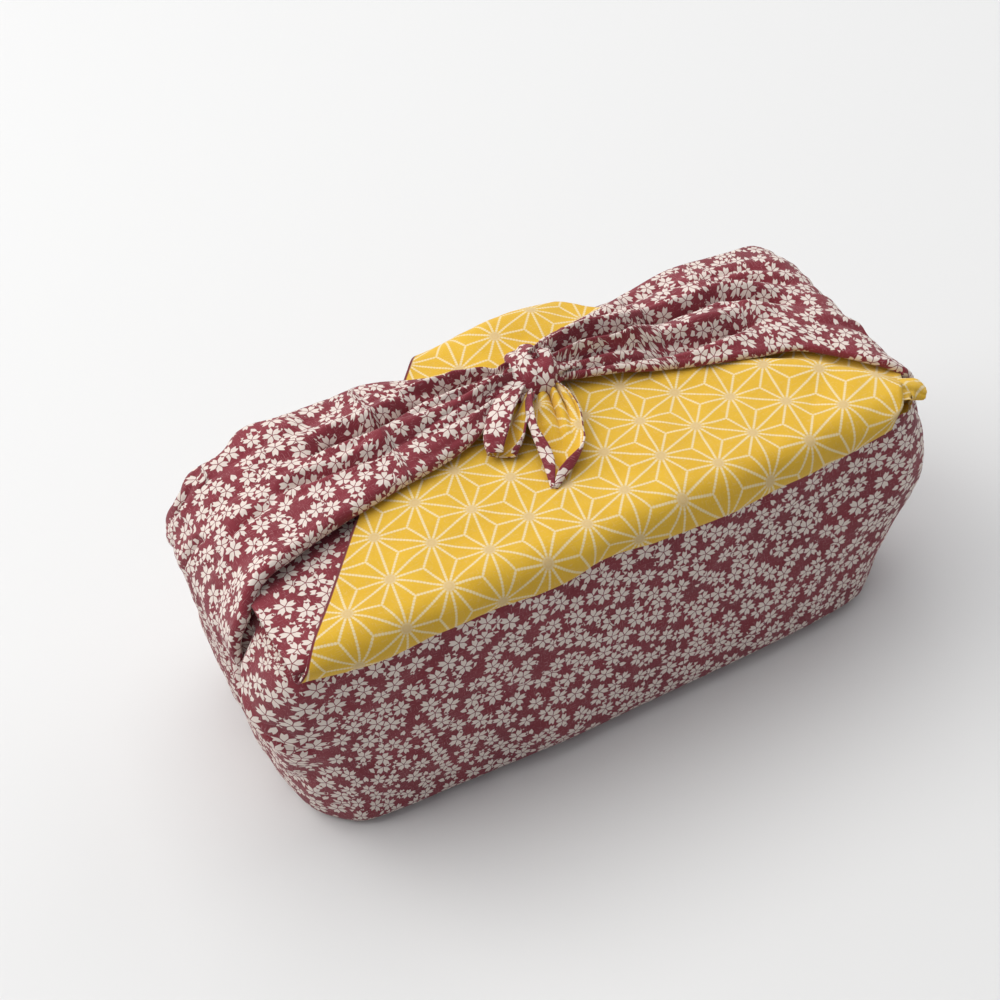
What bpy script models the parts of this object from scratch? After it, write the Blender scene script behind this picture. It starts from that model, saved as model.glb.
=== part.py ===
"""Furoshiki wrap: one square of double-faced cotton, folded and tied into a box-shaped bundle.

The cloth is a single sheet. Its middle is a soft tray: a floor and four walls. From the tray's
rim the four corners of the square go on as flaps:
  - the near flap bends over the top and lies lowest;
  - the far flap comes over it, turns back on itself along the near edge, and hangs over the far edge;
  - the left and right flaps rise up the ends as gathered wings and meet in a knot with two free ends.
All of it is one closed solid. X runs along the bundle, -Y is the near side, and the floor is at Z = 0.
"""
import math

import bmesh
import bpy
from mathutils import Vector

# Driving dimensions, in metres
LENGTH = 0.213            # the bundle's outer length
DEPTH = 0.0935            # its outer depth
HEIGHT = 0.0867           # floor to the top of the turned-back layer
CLOTH = 0.0010            # thickness of the sheet
LAYER_GAP = 0.0004        # air between two layers that lie on each other
CORNER_RADIUS = 0.0134    # of the four upright corners
FOOT_RADIUS = 0.0055      # of the edges round the floor
TOP_RADIUS = 0.006        # of the lowest layer where it bends over the top
RIM_HEIGHT = 0.050        # where the tray ends and the flaps begin
END_BULGE = 0.0045        # how far the ends swell at half height
SIDE_BULGE = 0.0032       # how far the long sides swell at half height
TOE_IN = 0.110            # share by which the tray's corners are drawn in at the floor
CORNER_DROP = {-1: 0.0085, 1: 0.0030}   # how far the far top corners sag, left and right
GATHER = 0.0065           # the gathered cloth that swells past the near right corner
GATHER_PLACE = (-0.036, 0.051)          # its Y and Z
GATHER_SIZE = (0.020, 0.017)
PUFF_FROM = 0.029         # where the turned-back layer begins to stand up
PUFF = 0.0048             # how far the turned-back layer stands up over the far edge
PUFF_MIDDLE = -0.002      # where along the edge it stands highest
PUFF_REACH = 0.036        # how far it takes to lie flat again on each side
NEAR_HEM = (0.084, 0.029)   # half width of the near flap's hidden hem, and its Y
FOLD_DROP = 0.0022        # straight run below the near bend, down to the turned-back fold
HANG = 0.0200             # how far the turned-back triangle hangs down the far side
NEAR_WRAP = 0.033         # how far the near flap goes on round each upright corner
FAR_WRAP = 0.012          # how far the far flap does
NEAR_TUCK = 0.0020        # how far inside the wings the near flap runs round the corners
FAR_TUCK = 0.0045         # how far the far flap does
WRAP_FROM = 0.040         # the flap is drawn towards the corners from here on

HALF_LENGTH = (LENGTH - CLOTH) / 2        # from the middle to the sheet's middle plane
HALF_DEPTH = (DEPTH - CLOTH) / 2
CORE_X = HALF_LENGTH - CORNER_RADIUS      # where the upright corners begin
CORE_Y = HALF_DEPTH - CORNER_RADIUS
PITCH = CLOTH + LAYER_GAP                 # from one layer to the next
TOP_3 = HEIGHT - CLOTH / 2                # the turned-back layer
TOP_2 = TOP_3 - PITCH                     # the far flap under it
TOP_1 = TOP_2 - PITCH                     # the near flap, lowest
BEND_Y = HALF_DEPTH - TOP_RADIUS          # centre line of the bends over the long top edges
BEND_Z = TOP_1 - TOP_RADIUS

# Cuts that shape the tray's plain box, as shares of the rounding that they serve
ROUNDING_SHARE = math.tan(math.pi / 8)
LONG_PANELS = 20
SHORT_PANELS = 8
WALL_HEIGHTS = (0.019, 0.029, 0.040)

# The turned-back layer's hem: where it starts at the fold, and how it slants over the top
HEM_LEFT = -0.1008
HEM_RIGHT = 0.0987
HEM_SLOPE = 1.21          # metres along the cloth for each metre sideways
HEM_APEX = 0.0084         # the corner of the square, sideways from the middle
APEX_WIDTH = 0.004        # the corner is blunted to this half width

# Wings. Each row is a station from the rim over the end's top edge to the knot.
# side: outward distance from the middle; high: height of the row's edges; lean: tilt of the
# row's outward direction from upright, in degrees; near and far: where its two edges lie,
# measured over the far top edge; crown: swell of its middle; pleat: height of its folds.
ROW = ("side", "high", "lean", "near", "far", "crown", "pleat")
LEFT_WING = (
    (0.1061, 0.0590, 90, -0.0350, 0.0410, 0.0002, 0.0002),
    (0.1063, 0.0670, 90, -0.0270, 0.0420, 0.0004, 0.0004),
    (0.1063, 0.0750, 90, -0.0215, 0.0430, 0.0006, 0.0006),
    (0.1053, 0.0809, 66, -0.0195, 0.0440, 0.0010, 0.0008),
    (0.1022, 0.0856, 40, -0.0185, 0.0450, 0.0014, 0.0009),
    (0.0967, 0.0876, 12, -0.0155, 0.0460, 0.0022, 0.0010),
    (0.0840, 0.0878, 0, -0.0120, 0.0470, 0.0034, 0.0012),
    (0.0690, 0.0878, 0, -0.0080, 0.0475, 0.0044, 0.0014),
    (0.0520, 0.0878, 0, -0.0045, 0.0475, 0.0052, 0.0014),
    (0.0380, 0.0882, 0, -0.0025, 0.0430, 0.0058, 0.0013),
    (0.0280, 0.0896, 0, -0.0005, 0.0345, 0.0058, 0.0012),
    (0.0180, 0.0900, 0, 0.0020, 0.0290, 0.0060, 0.0010),
    (0.0090, 0.0909, 0, 0.0070, 0.0250, 0.0050, 0.0006),
    (0.0010, 0.0939, 0, 0.0105, 0.0195, 0.0020, 0.0002),
)
RIGHT_WING = (
    (0.1074, 0.0590, 90, -0.0400, 0.0410, 0.0002, 0.0002),
    (0.1076, 0.0670, 90, -0.0385, 0.0420, 0.0004, 0.0004),
    (0.1076, 0.0750, 90, -0.0370, 0.0430, 0.0006, 0.0006),
    (0.1066, 0.0809, 66, -0.0355, 0.0440, 0.0010, 0.0008),
    (0.1035, 0.0856, 40, -0.0320, 0.0450, 0.0014, 0.0010),
    (0.0980, 0.0876, 12, -0.0250, 0.0460, 0.0022, 0.0012),
    (0.0840, 0.0878, 0, -0.0140, 0.0470, 0.0036, 0.0016),
    (0.0690, 0.0878, 0, -0.0085, 0.0475, 0.0048, 0.0018),
    (0.0520, 0.0892, 0, -0.0030, 0.0450, 0.0050, 0.0018),
    (0.0400, 0.0900, 0, 0.0010, 0.0390, 0.0052, 0.0016),
    (0.0300, 0.0902, 0, 0.0045, 0.0350, 0.0056, 0.0014),
    (0.0210, 0.0906, 0, 0.0075, 0.0315, 0.0060, 0.0012),
    (0.0130, 0.0914, 0, 0.0100, 0.0270, 0.0048, 0.0007),
    (0.0055, 0.0944, 0, 0.0115, 0.0200, 0.0020, 0.0002),
)
PLEATS = 3                # lengthwise folds across each wing
WING_EASE = 0.004         # how much sooner than the layers below a wing bends over the far edge

# Knot and the two free ends
KNOT_PLACE = Vector((0.0035, 0.0150, 0.0975))
KNOT_RADII = Vector((0.0098, 0.0088, 0.0082))
KNOT_TURN = math.radians(-35)      # the knot's long way, seen from above
KNOT_RIDGES = 3
KNOT_RIDGE_HEIGHT = 0.0006

# A free end is a cupped leaf. root and tip are its ends, lift raises its middle off the chord.
FRONT_END = {
    "root": Vector((0.0050, 0.0120, 0.0985)),
    "tip": Vector((-0.0095, -0.0270, 0.0892)),
    "lift": 0.0035,
    "width": 0.0175,
    "cup": 0.0035,
    "widest": 0.45,
}
SIDE_END = {
    "root": Vector((0.0000, 0.0120, 0.0965)),
    "tip": Vector((-0.0190, -0.0075, 0.0900)),
    "lift": 0.0025,
    "width": 0.0100,
    "cup": 0.0030,
    "widest": 0.70,
}
LEAF_LENGTHS = 9
LEAF_WIDTHS = 6
LEAF_TIP_SHARE = 0.10     # blunt tip, as a share of the leaf's width
LEAF_ROOT_SHARE = 0.35    # how much of its width the leaf keeps where it leaves the knot

# Moves the model so that its box is centred on the origin and its floor is at Z = 0
CENTRING = Vector((-0.0021, 0.0001, CLOTH / 2))


def clear_scene():
    for old in list(bpy.data.objects):
        bpy.data.objects.remove(old, do_unlink=True)


def clamp(value, low, high):
    return max(low, min(high, value))


def lerp(start, end, share):
    return start + (end - start) * share


def cloth_material():
    """Burgundy cotton."""
    material = bpy.data.materials.new("burgundy_cotton")
    material.use_nodes = True
    shader = material.node_tree.nodes["Principled BSDF"]
    shader.inputs["Base Color"].default_value = (0.30, 0.045, 0.07, 1.0)
    shader.inputs["Roughness"].default_value = 0.9
    shader.inputs["Metallic"].default_value = 0.0
    return material


def ease(value):
    """A soft step from 0 to 1."""
    value = clamp(value, 0.0, 1.0)
    return value * value * (3.0 - 2.0 * value)


def swell(point):
    """Bend the plain bundle as soft cloth lies: full sides, drawn-in toes and sagging corners."""
    level = clamp(point.z / HEIGHT, 0.0, 1.0)
    rise = math.sin(math.pi * level ** 0.75)
    end = clamp(abs(point.x) / HALF_LENGTH, 0.0, 1.0)
    edge = clamp(abs(point.y) / HALF_DEPTH, 0.0, 1.0)
    wide = 1.0 + END_BULGE / HALF_LENGTH * (1.0 - edge ** 4) * rise
    deep = 1.0 + SIDE_BULGE / HALF_DEPTH * (1.0 - end ** 3) * rise
    corner = end ** 6 * edge ** 4
    toe = 1.0 - TOE_IN * corner * (1.0 - level) ** 1.4
    moved = Vector((point.x * wide * toe, point.y * deep * toe, point.z))
    if point.y > 0.0:
        side = 1 if point.x > 0.0 else -1
        moved.z -= CORNER_DROP[side] * end ** 5 * edge ** 3 * ease((level - 0.6) / 0.4)
    if point.x > 0.0:
        off = [(value - place) / size for value, place, size in
               zip((point.y, point.z), GATHER_PLACE, GATHER_SIZE)]
        moved.x += GATHER * math.exp(-off[0] ** 2 - off[1] ** 2) * ease((end - 0.7) / 0.3)
    return moved


def round_corner(first, second):
    """Turn a square corner's (first, second) offsets into the same corner on an arc."""
    reach = max(first, second)
    size = math.hypot(first, second)
    if size < 1e-9:
        return first, second
    return first / size * reach, second / size * reach


def tray_point(point):
    """Round the tray's upright corners, then the edges round its floor."""
    middle = Vector((clamp(point.x, -CORE_X, CORE_X), clamp(point.y, -CORE_Y, CORE_Y)))
    out = Vector((point.x, point.y)) - middle
    reach = max(abs(out.x), abs(out.y))
    direction = out.normalized() if reach > 1e-9 else Vector((0.0, 0.0))
    past = max(0.0, reach - (CORNER_RADIUS - FOOT_RADIUS))
    below = max(0.0, FOOT_RADIUS - point.z)
    past_round, below_round = round_corner(past, below)
    plan = middle + direction * (reach - past + past_round)
    height = point.z + below - below_round
    return Vector((plan.x, plan.y, height))


def tray_cuts(core, half):
    """Positions of the cuts on one side of the middle: panels first, then the rounding."""
    flat = CORNER_RADIUS - FOOT_RADIUS
    return (core, core + flat, core + flat + FOOT_RADIUS * ROUNDING_SHARE, half)


def make_tray(bm):
    """A cube without its lid, cut where it will bend. Returns its four rim rows, still square."""
    bmesh.ops.create_cube(bm, size=1.0)
    bmesh.ops.scale(bm, vec=(2 * HALF_LENGTH, 2 * HALF_DEPTH, RIM_HEIGHT), verts=bm.verts)
    bmesh.ops.translate(bm, vec=(0.0, 0.0, RIM_HEIGHT / 2), verts=bm.verts)
    lid = [face for face in bm.faces if face.normal.z > 0.5]
    bmesh.ops.delete(bm, geom=lid, context="FACES_ONLY")
    along = [lerp(-CORE_X, CORE_X, i / LONG_PANELS) for i in range(LONG_PANELS + 1)]
    across = [lerp(-CORE_Y, CORE_Y, i / SHORT_PANELS) for i in range(SHORT_PANELS + 1)]
    for place in tray_cuts(CORE_X, HALF_LENGTH)[1:3]:
        along += [place, -place]
    for place in tray_cuts(CORE_Y, HALF_DEPTH)[1:3]:
        across += [place, -place]
    upward = (FOOT_RADIUS * (1 - ROUNDING_SHARE), FOOT_RADIUS) + WALL_HEIGHTS
    for axis, places in enumerate((along, across, upward)):
        normal = Vector((0.0, 0.0, 0.0))
        normal[axis] = 1.0
        for place in places:
            geom = bm.verts[:] + bm.edges[:] + bm.faces[:]
            bmesh.ops.bisect_plane(bm, geom=geom, plane_co=normal * place, plane_no=normal)
    rim = [vert for vert in bm.verts if vert.co.z > RIM_HEIGHT - 1e-6]
    inner = tray_cuts(CORE_X, HALF_LENGTH)[1] + 1e-6
    near = [vert for vert in rim if vert.co.y < -HALF_DEPTH + 1e-6 and abs(vert.co.x) < inner]
    far = [vert for vert in rim if vert.co.y > HALF_DEPTH - 1e-6 and abs(vert.co.x) < inner]
    left = [vert for vert in rim if vert.co.x < -HALF_LENGTH + 1e-6]
    right = [vert for vert in rim if vert.co.x > HALF_LENGTH - 1e-6]
    for row in (near, far):
        row.sort(key=lambda vert: vert.co.x)
    for row in (left, right):
        row.sort(key=lambda vert: vert.co.y)
    for vert in bm.verts:
        vert.co = tray_point(vert.co)
    return near, far, left, right


def extrude_row(bm, row, places):
    """Extrude a row of rim vertices and lay the new row on the given places."""
    edges = [bm.edges.get(pair) for pair in zip(row, row[1:])]
    made = bmesh.ops.extrude_edge_only(bm, edges=edges)["geom"]
    fresh = {item.co.to_tuple(6): item for item in made if isinstance(item, bmesh.types.BMVert)}
    following = [fresh[vert.co.to_tuple(6)] for vert in row]
    for vert, place in zip(following, places):
        vert.co = place
    return following


def rounded_outline(distance, inset, side):
    """Plan position at a distance along the rounded outline from a long wall's middle.

    side is -1 for the near wall and 1 for the far wall.
    """
    way = math.copysign(1.0, distance)
    run = abs(distance)
    arc = CORNER_RADIUS * math.pi / 2
    radius = CORNER_RADIUS - inset
    if run <= CORE_X:
        return Vector((distance, side * (HALF_DEPTH - inset)))
    if run <= CORE_X + arc:
        turn = (run - CORE_X) / CORNER_RADIUS
        return Vector((way * (CORE_X + radius * math.sin(turn)), side * (CORE_Y + radius * math.cos(turn))))
    return Vector((way * (HALF_LENGTH - inset), side * (CORE_Y - run + CORE_X + arc)))


def outline_distance(place):
    """Distance of a rim vertex along the rounded outline from its long wall's middle."""
    if abs(place.x) <= CORE_X:
        return place.x
    turn = math.atan2(abs(place.x) - CORE_X, abs(place.y) - CORE_Y)
    return math.copysign(CORE_X + CORNER_RADIUS * turn, place.x)


def climb_wall(bm, row, side, top, wrap, tuck, steps):
    """Take a long side's flap up its wall, round the upright corners and over the top edge.

    Round the corners it runs a layer further in, under the wing that crosses it there.
    """
    distances = [outline_distance(vert.co) for vert in row]
    longest = max(distances)
    shares = [clamp((abs(d) - WRAP_FROM) / (longest - WRAP_FROM), 0.0, 1.0) for d in distances]
    level = top - TOP_RADIUS
    for step in range(1, steps + 1):
        rise = step / steps
        spread = wrap * math.sin(rise * math.pi / 2)
        places = []
        for distance, share in zip(distances, shares):
            run = distance + math.copysign(spread * share, distance)
            hidden = tuck * clamp((abs(run) - CORE_X) / CORNER_RADIUS + 0.5, 0.0, 1.0)
            plan = rounded_outline(run, hidden, side)
            places.append(Vector((plan.x, plan.y, lerp(RIM_HEIGHT, level, rise))))
        row = extrude_row(bm, row, places)
    start = [vert.co.copy() for vert in row]
    inward = []
    for distance, share in zip(distances, shares):
        run = distance + math.copysign(wrap * share, distance)
        shift = rounded_outline(run, tuck, side) - rounded_outline(run, 0.0, side)
        inward.append(Vector((shift.x, shift.y, 0.0)).normalized())
    for step in range(1, steps + 1):
        turn = step / steps * math.pi / 2
        lift = Vector((0.0, 0.0, TOP_RADIUS * math.sin(turn)))
        shift = TOP_RADIUS * (1.0 - math.cos(turn))
        row = extrude_row(bm, row, [p + n * shift + lift for p, n in zip(start, inward)])
    return row


def column_shares(row):
    """Where each column of a flap lies between its two side edges, from 0 to 1."""
    distances = [outline_distance(vert.co) for vert in row]
    return [(distance - distances[0]) / (distances[-1] - distances[0]) for distance in distances]


def near_flap(bm, row):
    """The lowest layer: up the near wall, round the upright corners, and over the top."""
    half_width, hem_y = NEAR_HEM
    shares = column_shares(row)
    row = climb_wall(bm, row, -1.0, TOP_1, NEAR_WRAP, NEAR_TUCK, 4)
    edge = [vert.co.copy() for vert in row]
    hem = [Vector((lerp(-half_width, half_width, share), hem_y, TOP_1)) for share in shares]
    lay = 5
    for step in range(1, lay + 1):
        row = extrude_row(bm, row, [start.lerp(end, step / lay) for start, end in zip(edge, hem)])


def arc_points(centre, radius, start, end, steps):
    """Points (y, z) along an arc, angles in degrees, without its first point."""
    points = []
    for step in range(1, steps + 1):
        turn = math.radians(lerp(start, end, step / steps))
        points.append((centre[0] + radius * math.cos(turn), centre[1] + radius * math.sin(turn)))
    return points


def run_points(start, end, steps):
    """Points (y, z) along a straight run, without its first point."""
    return [(lerp(start[0], end[0], i / steps), lerp(start[1], end[1], i / steps))
            for i in range(1, steps + 1)]


def far_flap_section():
    """The far flap's section (y, z), from the far top edge to the hem of the hanging corner."""
    far_centre = (BEND_Y, TOP_2 - TOP_RADIUS)
    near_centre = (-BEND_Y, BEND_Z)
    fold_z = BEND_Z - FOLD_DROP
    fold_y = -HALF_DEPTH - 1.5 * PITCH
    under = run_points((BEND_Y, TOP_2), (-BEND_Y, TOP_2), 5)
    under += arc_points(near_centre, TOP_RADIUS + PITCH, 90, 180, 4)
    under += [(-HALF_DEPTH - PITCH, fold_z)]
    over = arc_points((fold_y, fold_z), PITCH / 2, 0, -180, 4)
    over += [(-HALF_DEPTH - 2 * PITCH, BEND_Z)]
    over += arc_points(near_centre, TOP_RADIUS + 2 * PITCH, 180, 90, 4)
    over += run_points(over[-1], (BEND_Y, TOP_3), 6)
    over += arc_points(far_centre, TOP_RADIUS + PITCH, 90, 0, 4)
    over += run_points(over[-1], (HALF_DEPTH + PITCH, far_centre[1] - HANG), 3)
    return under, over


def far_flap(bm, row):
    """Over the top, turned back along the near edge, narrowing to the corner that hangs behind."""
    shares = column_shares(row)
    row = climb_wall(bm, row, 1.0, TOP_2, FAR_WRAP, FAR_TUCK, 3)
    edge = [vert.co.copy() for vert in row]
    under, over = far_flap_section()
    for step, (y, z) in enumerate(under, 1):
        done = step / len(under)
        places = []
        for start, share in zip(edge, shares):
            laid = Vector((lerp(HEM_LEFT, HEM_RIGHT, share), y, z))
            square = Vector((start.x, y, z))
            places.append(square.lerp(laid, done))
        row = extrude_row(bm, row, places)
    travelled = 0.0
    before = under[-1]
    for y, z in over:
        travelled += math.hypot(y - before[0], z - before[1])
        before = (y, z)
        left = min(HEM_LEFT + travelled / HEM_SLOPE, HEM_APEX - APEX_WIDTH)
        mirrored = 2 * HEM_APEX - left
        right = min(HEM_RIGHT, mirrored)
        stand = PUFF * ease((y - PUFF_FROM) / (BEND_Y - PUFF_FROM)) * ease((z - HEIGHT + HANG) / HANG)
        places = []
        for share in shares:
            x = lerp(left, right, share)
            puff = stand * ease(1.0 - abs(x - PUFF_MIDDLE) / PUFF_REACH)
            places.append(Vector((x, y, z + puff)))
        row = extrude_row(bm, row, places)


def wing_point(side, station, share):
    """A point of a wing row. share runs from 0 at its near edge to 1 at its far edge."""
    reach = lerp(station["near"], station["far"], share)
    swelling = station["crown"] * math.sin(math.pi * share ** 0.8)
    swelling += station["pleat"] * (0.5 - 0.5 * math.cos(2 * math.pi * PLEATS * share))
    lean = math.radians(station["lean"])
    level = station["high"]
    bend_radius = TOP_RADIUS + 3 * PITCH + WING_EASE
    past = max(0.0, reach - BEND_Y + WING_EASE) * math.cos(lean)
    turn = past / bend_radius
    y = reach - past + bend_radius * math.sin(turn) + swelling * math.sin(turn)
    drop = bend_radius * (1.0 - math.cos(turn))
    x = station["side"] + swelling * math.sin(lean)
    z = level - drop + swelling * math.cos(lean) * math.cos(turn)
    return Vector((side * x, y, z))


def wing(bm, row, side, stations):
    """A corner of the square, drawn up the end and gathered towards the knot."""
    count = len(row) - 1
    for values in stations:
        station = dict(zip(ROW, values))
        places = [wing_point(side, station, index / count) for index in range(count + 1)]
        row = extrude_row(bm, row, places)


def finish_mesh(bm, name, material):
    """Turn a bmesh into an object of its own."""
    bmesh.ops.recalc_face_normals(bm, faces=bm.faces)
    mesh = bpy.data.meshes.new(name)
    bm.to_mesh(mesh)
    bm.free()
    mesh.materials.append(material)
    thing = bpy.data.objects.new(name, mesh)
    bpy.context.scene.collection.objects.link(thing)
    return thing


def thicken(thing):
    """Give a sheet its thickness, half on each side."""
    shell = thing.modifiers.new("thickness", "SOLIDIFY")
    shell.thickness = CLOTH
    shell.offset = 0.0
    shell.use_even_offset = True


def make_sheet(material):
    bm = bmesh.new()
    near, far, left, right = make_tray(bm)
    near_flap(bm, near)
    far_flap(bm, far)
    wing(bm, left, -1.0, LEFT_WING)
    wing(bm, right, 1.0, RIGHT_WING)
    for vert in bm.verts:
        vert.co = swell(vert.co) + CENTRING
    sheet = finish_mesh(bm, "furoshiki_cloth", material)
    thicken(sheet)
    return sheet


def make_knot(material):
    """The knot's lump: the two ends drawn round each other, with soft ridges along the turns."""
    bm = bmesh.new()
    bmesh.ops.create_uvsphere(bm, u_segments=14, v_segments=9, radius=1.0)
    for vert in bm.verts:
        around = math.atan2(vert.co.z, vert.co.y)
        ridge = KNOT_RIDGE_HEIGHT * math.cos(KNOT_RIDGES * around + 4.0 * vert.co.x)
        local = Vector((vert.co.x * KNOT_RADII.x, vert.co.y * KNOT_RADII.y, vert.co.z * KNOT_RADII.z))
        vert.co = local + vert.co * ridge
        x = vert.co.x * math.cos(KNOT_TURN) - vert.co.y * math.sin(KNOT_TURN)
        y = vert.co.x * math.sin(KNOT_TURN) + vert.co.y * math.cos(KNOT_TURN)
        vert.co = Vector((x, y, vert.co.z)) + KNOT_PLACE + CENTRING
    return finish_mesh(bm, "knot_lump", material)


def leaf_share(along, widest):
    """Width of a free end along its length, as a share of its full width."""
    if along < widest:
        return lerp(LEAF_ROOT_SHARE, 1.0, math.sin(along / widest * math.pi / 2))
    rest = (along - widest) / (1.0 - widest)
    return lerp(LEAF_TIP_SHARE, 1.0, math.cos(rest * math.pi / 2) ** 0.8)


def make_free_end(name, end, material):
    """A cupped leaf: a corner of the square that sticks out of the knot."""
    bm = bmesh.new()
    bmesh.ops.create_grid(bm, x_segments=LEAF_LENGTHS, y_segments=LEAF_WIDTHS, size=0.5)
    forward = (end["tip"] - end["root"]).normalized()
    sideways = forward.cross(Vector((0.0, 0.0, 1.0))).normalized()
    upward = sideways.cross(forward)
    for vert in bm.verts:
        along = vert.co.x + 0.5
        across = 2.0 * vert.co.y
        width = end["width"] / 2 * leaf_share(along, end["widest"])
        rise = end["lift"] * math.sin(math.pi * along) - end["cup"] * (1.0 - across ** 2) * width / end["width"]
        spine = end["root"].lerp(end["tip"], along)
        vert.co = spine + sideways * (across * width) + upward * rise + CENTRING
    leaf = finish_mesh(bm, name, material)
    thicken(leaf)
    return leaf


def join(sheet, guide):
    """Join a guide into the sheet, and keep the guide itself out of the part."""
    union = sheet.modifiers.new(guide.name, "BOOLEAN")
    union.operation = "UNION"
    union.solver = "EXACT"
    union.object = guide
    guide.hide_render = True
    guide.display_type = "WIRE"


def main():
    clear_scene()
    material = cloth_material()
    sheet = make_sheet(material)
    join(sheet, make_knot(material))
    join(sheet, make_free_end("front_end", FRONT_END, material))
    join(sheet, make_free_end("side_end", SIDE_END, material))


main()
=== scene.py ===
# %% [markdown]
# # A furoshiki bundle in double-faced cotton
# A furoshiki is one square of cloth, folded round a box and tied on top. This one is burgundy with cream
# cherry blossoms outside, and yellow with a dotted hemp-leaf lattice inside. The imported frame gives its
# size and place, so it is loaded before anything is made.

# %% Tools and the fixed frame
import functools
import math

import bmesh
import bpy
import numpy as np
from mathutils import Matrix, Vector, noise


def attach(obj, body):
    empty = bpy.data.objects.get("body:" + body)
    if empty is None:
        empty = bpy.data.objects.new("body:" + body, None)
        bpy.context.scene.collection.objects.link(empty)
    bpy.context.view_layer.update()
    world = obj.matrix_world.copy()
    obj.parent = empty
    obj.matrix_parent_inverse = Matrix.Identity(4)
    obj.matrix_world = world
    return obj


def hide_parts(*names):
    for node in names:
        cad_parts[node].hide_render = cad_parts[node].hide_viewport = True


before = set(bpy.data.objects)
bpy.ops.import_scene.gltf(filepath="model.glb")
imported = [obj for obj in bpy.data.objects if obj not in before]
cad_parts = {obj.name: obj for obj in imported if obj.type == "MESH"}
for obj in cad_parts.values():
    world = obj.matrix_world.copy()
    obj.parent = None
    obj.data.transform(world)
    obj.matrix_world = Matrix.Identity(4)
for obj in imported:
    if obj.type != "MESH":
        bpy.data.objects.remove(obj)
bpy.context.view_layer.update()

# %% [markdown]
# ## Sizes
# All pieces of the cloth are laid on one soft box. These are its sizes in metres. CENTRING moves the bundle
# so that its box is centred on the origin and stands on the table.

# %% Sizes of the bundle
HALF_LENGTH = 0.1060      # middle of the bundle to its ends
HALF_DEPTH = 0.04625      # middle to the long sides
TOP = 0.0867              # height of the folded top
CORNER = 0.0134           # radius of the upright corners
FOOT = 0.0055             # radius of the edges round the floor
END_EDGE = 0.0125         # radius of the top edges at the ends
LONG_EDGE = 0.0075        # radius of the top edges along the sides
SIDE_LEVEL = 0.0836       # top of the lowest layer
CENTRING = np.array((-0.0021, 0.0001, 0.0001))
STAR_GAP = 0.0166         # from one star of the hemp-leaf lattice to the next
print("bundle", round(2000 * HALF_LENGTH), "x", round(2000 * HALF_DEPTH), "x", round(1000 * TOP), "mm")

# %% [markdown]
# ## Camera, light and floor
# The bundle is seen from above its near left corner, on a white table by a window. A large soft lamp stands
# behind it on the left, and weaker ones above and on the right, so the near side is in soft shade.

# %% Camera
def aim_camera(azimuth, elevation, roll, target, distance, lens):
    """A camera that looks at a target, turned a little about its own line of sight."""
    back = Vector((math.sin(azimuth) * math.cos(elevation), -math.cos(azimuth) * math.cos(elevation),
                   math.sin(elevation)))
    right = Vector((0, 0, 1)).cross(back).normalized()
    above = back.cross(right)
    turned_right = right * math.cos(roll) + above * math.sin(roll)
    turned_up = above * math.cos(roll) - right * math.sin(roll)
    data = bpy.data.cameras.new("camera")
    data.lens, data.sensor_width = lens, 36.0
    data.clip_start, data.clip_end = 0.01, 20.0
    camera = bpy.data.objects.new("camera", data)
    bpy.context.scene.collection.objects.link(camera)
    place = Vector(target) + back * distance
    columns = Matrix((turned_right, turned_up, back)).transposed().to_4x4()
    camera.matrix_world = Matrix.Translation(place) @ columns
    bpy.context.scene.camera = camera
    return camera


camera = aim_camera(math.radians(-24.3), math.radians(45.9), math.radians(-4.9),
                    (0.00987 + CENTRING[0], 0.05628 + CENTRING[1], CENTRING[2]), 0.63378, 64.8)
print("camera at", [round(v, 3) for v in camera.matrix_world.translation])

# %% Lamps and surroundings
def soft_lamp(name, place, size, watts, colour):
    data = bpy.data.lights.new(name, "AREA")
    data.shape, data.size, data.energy, data.color = "SQUARE", size, watts, colour
    lamp = bpy.data.objects.new(name, data)
    lamp.location = place
    lamp.rotation_euler = (-Vector(place)).to_track_quat("-Z", "Y").to_euler()
    bpy.context.scene.collection.objects.link(lamp)
    return lamp


window = soft_lamp("window", (-1.25, 0.75, 1.25), 1.6, 24.0, (1.0, 0.99, 0.975))
ceiling = soft_lamp("ceiling", (-0.05, 0.55, 1.8), 1.9, 22.0, (1.0, 0.995, 0.985))
white_wall = soft_lamp("white_wall", (1.5, 0.5, 1.0), 1.8, 8.0, (1.0, 1.0, 1.0))
world = bpy.data.worlds.new("pale_room")
world.use_nodes = True
world.node_tree.nodes["Background"].inputs["Color"].default_value = (0.93, 0.95, 1.0, 1.0)
world.node_tree.nodes["Background"].inputs["Strength"].default_value = 0.32
bpy.context.scene.world = world
bpy.context.scene.view_settings.view_transform = "Standard"
bpy.context.scene.view_settings.look = "None"
print("lamps:", window.name, ceiling.name, white_wall.name, "and the pale room")

# %% Table top
def table_top():
    bm = bmesh.new()
    bmesh.ops.create_grid(bm, x_segments=1, y_segments=1, size=4.0)
    mesh = bpy.data.meshes.new("table_top")
    bm.to_mesh(mesh)
    bm.free()
    floor = bpy.data.objects.new("table_top", mesh)
    bpy.context.scene.collection.objects.link(floor)
    paint = bpy.data.materials.new("white_table")
    paint.use_nodes = True
    shader = paint.node_tree.nodes["Principled BSDF"]
    shader.inputs["Base Color"].default_value = (0.73, 0.73, 0.725, 1.0)
    shader.inputs["Roughness"].default_value = 0.7
    mesh.materials.append(paint)
    return floor


floor = table_top()
print("table top laid")

# %% [markdown]
# ## Small helpers for node trees
# Every print on the cloth is arithmetic on its coordinates. Each helper adds a node and returns its output,
# so that the prints below read almost like formulas.

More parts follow.
